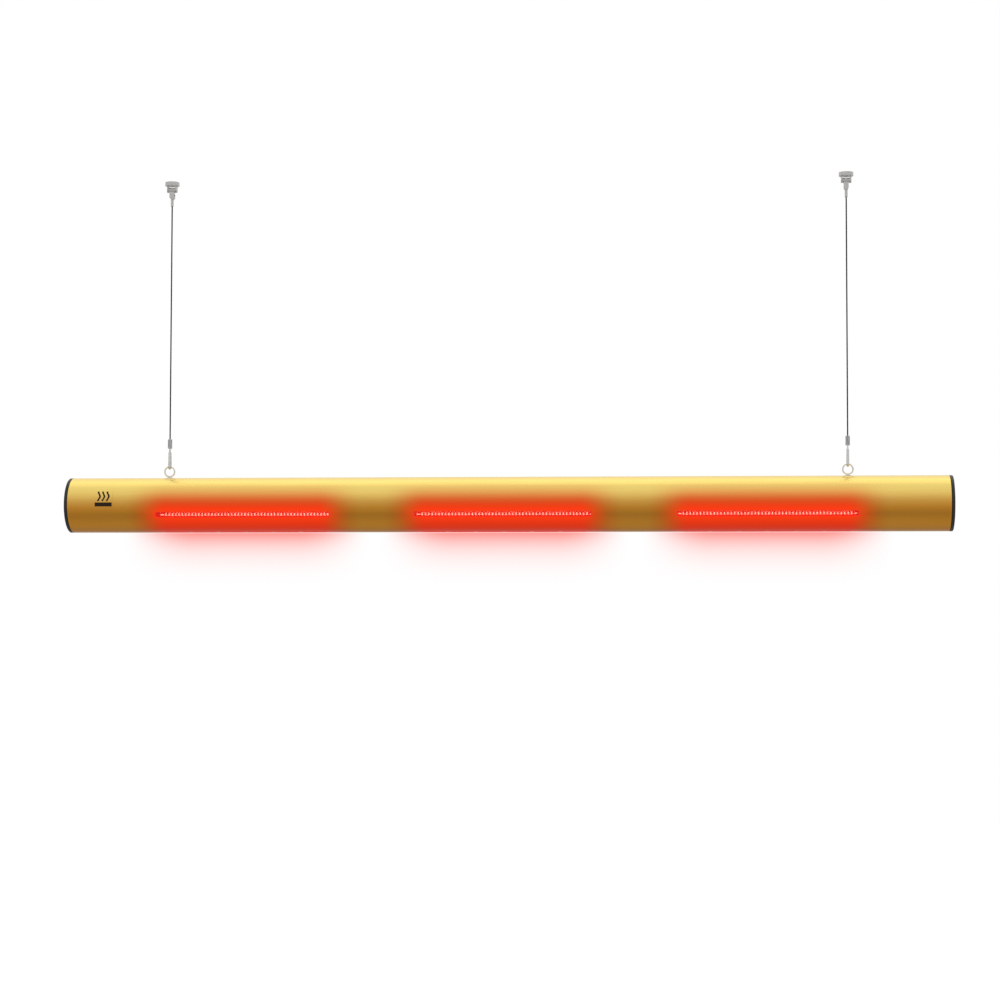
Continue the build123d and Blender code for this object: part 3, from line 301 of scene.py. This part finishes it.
# Materials by the start of the node's name; the first that fits counts.
WEARS = (
    ("tube_housing", "gold"), ("guard_grille", "gold"), ("badge", "badge"), ("left_end_cap", "black"),
    ("right_end_cap", "black"), ("left_cable_loop", "light"), ("right_cable_loop", "light"),
    ("left_cable_terminal", "coupler"), ("right_cable_terminal", "coupler"), ("left_cable", "cable"),
    ("right_cable", "cable"), ("left_thimble", "light"), ("right_thimble", "light"), ("left_eye", "eye"),
    ("right_eye", "eye"), ("eye_bolt_washers", "eye"), ("left_ferrule", "ferrule"), ("right_ferrule", "ferrule"),
    ("coupler", "coupler"), ("left_swivel", "coupler"), ("right_swivel", "coupler"), ("eye_bolt", "screw"),
    ("end_cap_screws", "plastic"), ("guard_screws", "screw"), ("reflector_studs", "screw"), ("chassis", "rail"),
    ("socket_brackets", "rail"), ("window_retainers", "rail"), ("heat_shields", "rail"), ("reflector", "mirror"),
    ("window_glass", "ruby"), ("lamp_bases", "ceramic"), ("lamp_sockets", "ceramic"),
    ("terminal_block", "ceramic"), ("lamp_leads", "sleeve"), ("wiring", "sleeve"), ("gland_seal", "rubber"),
    ("gland", "plastic"),
)


def material_for(node):
    if node.endswith("_quartz"):
        return MATERIALS["quartz"]
    if node.endswith("_coil"):
        return MATERIALS["coil"]
    if node.endswith("_contact"):
        return MATERIALS["contact"]
    for start, material in WEARS:
        if node.startswith(start):
            return MATERIALS[material]
    raise ValueError(f"no material for {node}")


for name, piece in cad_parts.items():
    for place in piece.material_slots:
        place.material = material_for(name)

# ---------------------------------------------------------------- lamp coils


def tube_mesh(name, centres, frames, radius, sides):
    """A round tube through centres, where frames gives two unit vectors across it at each of them."""
    shape = bmesh.new()
    rings = []
    for centre, (across, up) in zip(centres, frames):
        turn = [2 * math.pi * n / sides for n in range(sides)]
        rings.append([shape.verts.new(centre + radius * (math.cos(a) * across + math.sin(a) * up)) for a in turn])
    for ring, following in zip(rings, rings[1:]):
        for n in range(sides):
            after = (n + 1) % sides
            shape.faces.new((ring[n], ring[after], following[after], following[n]))
    shape.faces.new(reversed(rings[0]))
    shape.faces.new(rings[-1])
    bmesh.ops.recalc_face_normals(shape, faces=shape.faces)
    mesh = bpy.data.meshes.new(name)
    shape.to_mesh(mesh)
    shape.free()
    for face in mesh.polygons:
        face.use_smooth = True
    return mesh


def across_frames(centres):
    """Two unit vectors across the line at each of its points."""
    found = []
    for n in range(len(centres)):
        along = (centres[min(n + 1, len(centres) - 1)] - centres[max(n - 1, 0)]).normalized()
        side = along.cross(Vector((0.13, 0.27, 0.95))).normalized()
        found.append((side, along.cross(side)))
    return found


STEPS_A_TURN = 16
WIRE_RADIUS = 0.00085
STEP_START = 0.8  # share of a turn after which the wire steps on to the next turn
TAIL_GAP = 0.003  # end of the turns to the start of a straight tail


def coil_centres(node):
    """The centre line of a lamp's wire: a straight tail, the turns, and a straight tail."""
    centre = middle(node)
    half = extent(node).x / 2
    turn_radius = extent(node).z / 2 - WIRE_RADIUS
    points = [centre - Vector((half, 0, 0)), centre - Vector((COIL_HALF + TAIL_GAP, 0, 0))]
    for step in range(COIL_TURNS * STEPS_A_TURN):
        turn = 2 * math.pi * step / STEPS_A_TURN
        whole, part = divmod(step, STEPS_A_TURN)
        # Each turn stands square across the tube and steps on to the next one over its last fifth.
        shift = max(0.0, (part / STEPS_A_TURN - STEP_START) / (1 - STEP_START))
        x = centre.x - COIL_HALF + 2 * COIL_HALF * (whole + shift + 0.5) / COIL_TURNS
        off = turn_radius * Vector((0, math.cos(turn), math.sin(turn)))
        points.append(Vector((x, centre.y, centre.z)) + off)
    points += [centre + Vector((COIL_HALF + TAIL_GAP, 0, 0)), centre + Vector((half, 0, 0))]
    return points


def build_coil(number):
    node = f"lamp_{number}_coil"
    centres = coil_centres(node)
    mesh = tube_mesh(f"{node}_wire", centres, across_frames(centres), WIRE_RADIUS, 6)
    coil = bpy.data.objects.new(f"{node}_wire", mesh)
    bpy.context.scene.collection.objects.link(coil)
    coil.data.materials.append(MATERIALS["coil"])
    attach(coil, "warmer")
    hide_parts(node)


for number in LAMPS:
    build_coil(number)

# ---------------------------------------------------------------- suspension cables


def spline_points(name, points):
    """The points along an open NURBS spline through a route."""
    curve = bpy.data.curves.new(name, "CURVE")
    curve.dimensions = "3D"
    spline = curve.splines.new("NURBS")
    spline.points.add(len(points) - 1)
    for point, place in zip(spline.points, points):
        point.co = (*place, 1.0)
    spline.order_u = 3
    spline.use_endpoint_u = True
    spline.resolution_u = 60
    holder = bpy.data.objects.new(name, curve)
    mesh = bpy.data.meshes.new_from_object(holder)
    found = [vertex.co.copy() for vertex in mesh.vertices]
    bpy.data.objects.remove(holder)
    bpy.data.curves.remove(curve)
    bpy.data.meshes.remove(mesh)
    return found


STRANDS = 6
STRAND_LAY = 0.013  # length of one turn of the strands


def build_cable(side):
    node = f"{side}_cable"
    low, high = (Vector(corner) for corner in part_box(node))
    centre = (low + high) / 2
    radius = (high.x - low.x) / 2
    top, bottom = Vector((centre.x, centre.y, high.z)), Vector((centre.x, centre.y, low.z))
    path = spline_points(f"{node}_route", [top, top.lerp(bottom, 1 / 3), top.lerp(bottom, 2 / 3), bottom])
    path.sort(key=lambda point: -point.z)
    strand_radius = radius / 3
    meshes = [tube_mesh("core", path, across_frames(path), strand_radius, 8)]
    steps = round((top.z - bottom.z) / STRAND_LAY * 12)
    for strand in range(STRANDS):
        line = []
        for step in range(steps + 1):
            down = (top.z - bottom.z) * step / steps
            turn = 2 * math.pi * (down / STRAND_LAY + strand / STRANDS)
            off = Vector((math.cos(turn), math.sin(turn), 0)) * (radius - strand_radius)
            line.append(top - Vector((0, 0, down)) + off)
        meshes.append(tube_mesh("strand", line, across_frames(line), strand_radius, 7))
    joined = bmesh.new()
    for mesh in meshes:
        joined.from_mesh(mesh)
        bpy.data.meshes.remove(mesh)
    rope_mesh = bpy.data.meshes.new(f"{node}_rope")
    joined.to_mesh(rope_mesh)
    joined.free()
    for face in rope_mesh.polygons:
        face.use_smooth = True
    rope = bpy.data.objects.new(f"{node}_rope", rope_mesh)
    bpy.context.scene.collection.objects.link(rope)
    rope_mesh.materials.append(MATERIALS["cable"])
    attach(rope, f"{side}_rope")
    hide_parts(node)


for side in SIDES:
    build_cable(side)

# ---------------------------------------------------------------- floor, light and camera

FLOOR_DROP = 3.0  # far enough down for a view from below

# Painted lamp glow: red volumes under the tube that tint the white behind them, in place of the lamps' red light
# falling there.
PAINTED_GLOW_HALF = 0.178
PAINTED_GLOW_GAP = 0.0005
PAINTED_GLOW_DROP = 0.085
PAINTED_GLOW_FADE = 0.017  # the depth over which the haze falls to a third
PAINTED_GLOW_DENSITY = 17.0


def build_floor():
    shape = bmesh.new()
    bmesh.ops.create_grid(shape, x_segments=4, y_segments=4, size=30.0)
    mesh = bpy.data.meshes.new("studio_floor")
    shape.to_mesh(mesh)
    shape.free()
    floor = bpy.data.objects.new("studio_floor", mesh)
    floor.location = (0, 0, AXIS_Z - FLOOR_DROP)
    bpy.context.scene.collection.objects.link(floor)
    s = Shader("floor_white")
    tone = s.mix(s.noise(0.6, 2.0), rgb(0.93, 0.93, 0.93), rgb(0.96, 0.96, 0.96))
    mesh.materials.append(s.finish(s.principled(
        Base_Color=tone, Roughness=0.9, Specular_IOR_Level=0.0,
        Emission_Color=rgb(1, 1, 1), Emission_Strength=0.30,
    ).outputs[0]))
    floor.visible_glossy = False


def build_painted_glow_volume(number):
    """A painted glow right under a lit lamp: a red-tinting volume that stands in for the lamp's red light and
    tints what is seen through it.
    """
    lamp_x = LAMP_X[number - 1]
    top = AXIS_Z - TUBE_R - PAINTED_GLOW_GAP
    low = Vector((lamp_x - PAINTED_GLOW_HALF, -TUBE_R, AXIS_Z - TUBE_R - PAINTED_GLOW_DROP))
    high = Vector((lamp_x + PAINTED_GLOW_HALF, TUBE_R, top))
    shape = bmesh.new()
    bmesh.ops.create_cube(shape, size=1.0)
    for vertex in shape.verts:
        vertex.co = [a + (b - a) * (part + 0.5) for a, b, part in zip(low, high, vertex.co)]
    mesh = bpy.data.meshes.new(f"lamp_painted_glow_volume_{number}")
    shape.to_mesh(mesh)
    shape.free()
    painted_glow_volume = bpy.data.objects.new(f"lamp_painted_glow_volume_{number}", mesh)
    bpy.context.scene.collection.objects.link(painted_glow_volume)
    s = Shader(f"haze_{number}")
    x, y, z = s.place()
    past_end = s.math("SUBTRACT", s.math("ABSOLUTE", s.math("SUBTRACT", x, lamp_x)), COIL_HALF)
    along = s.ramp(past_end, -0.045, 0.060, 1.0, 0.0)
    down = s.math("DIVIDE", s.math("SUBTRACT", z, top), PAINTED_GLOW_FADE)
    fade = s.math("MULTIPLY", s.math("EXPONENT", down), s.ramp(z, low.z, low.z + 0.045))
    density = s.math("MULTIPLY", s.math("MULTIPLY", along, fade), PAINTED_GLOW_DENSITY)
    painted_glow_tint = s.node("ShaderNodeVolumeAbsorption", {"Color": rgb(1.0, 0.08, 0.02), "Density": density}).outputs[0]
    s.node("ShaderNodeOutputMaterial", {"Volume": painted_glow_tint})
    mesh.materials.append(s.material)
    painted_glow_volume.visible_shadow = False
    painted_glow_volume.visible_glossy = False
    painted_glow_volume.visible_diffuse = False


def build_world():
    """Soft studio surroundings, bright above and behind and dimmer below. The camera sees plain white."""
    world = bpy.data.worlds.new("studio")
    bpy.context.scene.world = world
    world.use_nodes = True
    s = Shader("studio", world.node_tree)
    coordinates = s.node("ShaderNodeTexCoord")
    _, y, z = s.node("ShaderNodeSeparateXYZ", {0: coordinates.outputs["Generated"]}).outputs
    lower = s.ramp(z, -1.0, -0.72, 0.50, 0.40)
    front = s.ramp(z, -0.72, 0.0, 0.0, 0.22)
    upper = s.ramp(z, 0.0, 0.85, 0.0, 0.26)
    level = s.math("ADD", s.math("ADD", lower, front), upper)
    behind = s.math("MULTIPLY", s.ramp(y, 0.0, 0.6), s.ramp(z, -0.05, 0.35))
    level = s.math("ADD", level, s.math("MULTIPLY", behind, 0.15))
    light = s.node("ShaderNodeBackground", {"Color": rgb(1, 1, 1), "Strength": level}).outputs[0]
    seen = s.node("ShaderNodeBackground", {"Color": rgb(1, 1, 1), "Strength": 1.0}).outputs[0]
    camera_ray = s.node("ShaderNodeLightPath").outputs["Is Camera Ray"]
    mixed = s.node("ShaderNodeMixShader", {0: camera_ray, 1: light, 2: seen}).outputs[0]
    s.node("ShaderNodeOutputWorld", {"Surface": mixed})


def build_light(name, place, aim, size, power):
    data = bpy.data.lights.new(name, "AREA")
    data.shape = "RECTANGLE"
    data.size, data.size_y = size
    data.energy = power
    lamp = bpy.data.objects.new(name, data)
    lamp.location = place
    lamp.rotation_euler = (Vector(aim) - Vector(place)).to_track_quat("-Z", "Y").to_euler()
    bpy.context.scene.collection.objects.link(lamp)


def build_camera():
    azimuth, elevation, roll = math.radians(5.05), math.radians(-2.99), math.radians(0.10)
    distance, lens = 3.206, 83.59
    target = Vector((-0.0061, 0.0, AXIS_Z + 0.0061))
    level = math.cos(elevation)
    back = Vector((math.sin(azimuth) * level, -math.cos(azimuth) * level, math.sin(elevation)))
    data = bpy.data.cameras.new("camera")
    data.lens = lens
    data.sensor_width = 36.0
    camera = bpy.data.objects.new("camera", data)
    turned = back.to_track_quat("Z", "Y").to_matrix().to_4x4() @ Matrix.Rotation(roll, 4, "Z")
    camera.rotation_euler = turned.to_euler()
    camera.location = target + back * distance
    bpy.context.scene.collection.objects.link(camera)
    bpy.context.scene.camera = camera


build_floor()
for number in LAMPS:
    build_painted_glow_volume(number)
build_world()
build_light("overhead", (0.0, 0.5, AXIS_Z + 1.9), (0.0, 0.0, AXIS_Z), (3.0, 1.2), 3.2)
build_camera()
bpy.context.scene.view_settings.view_transform = "Standard"
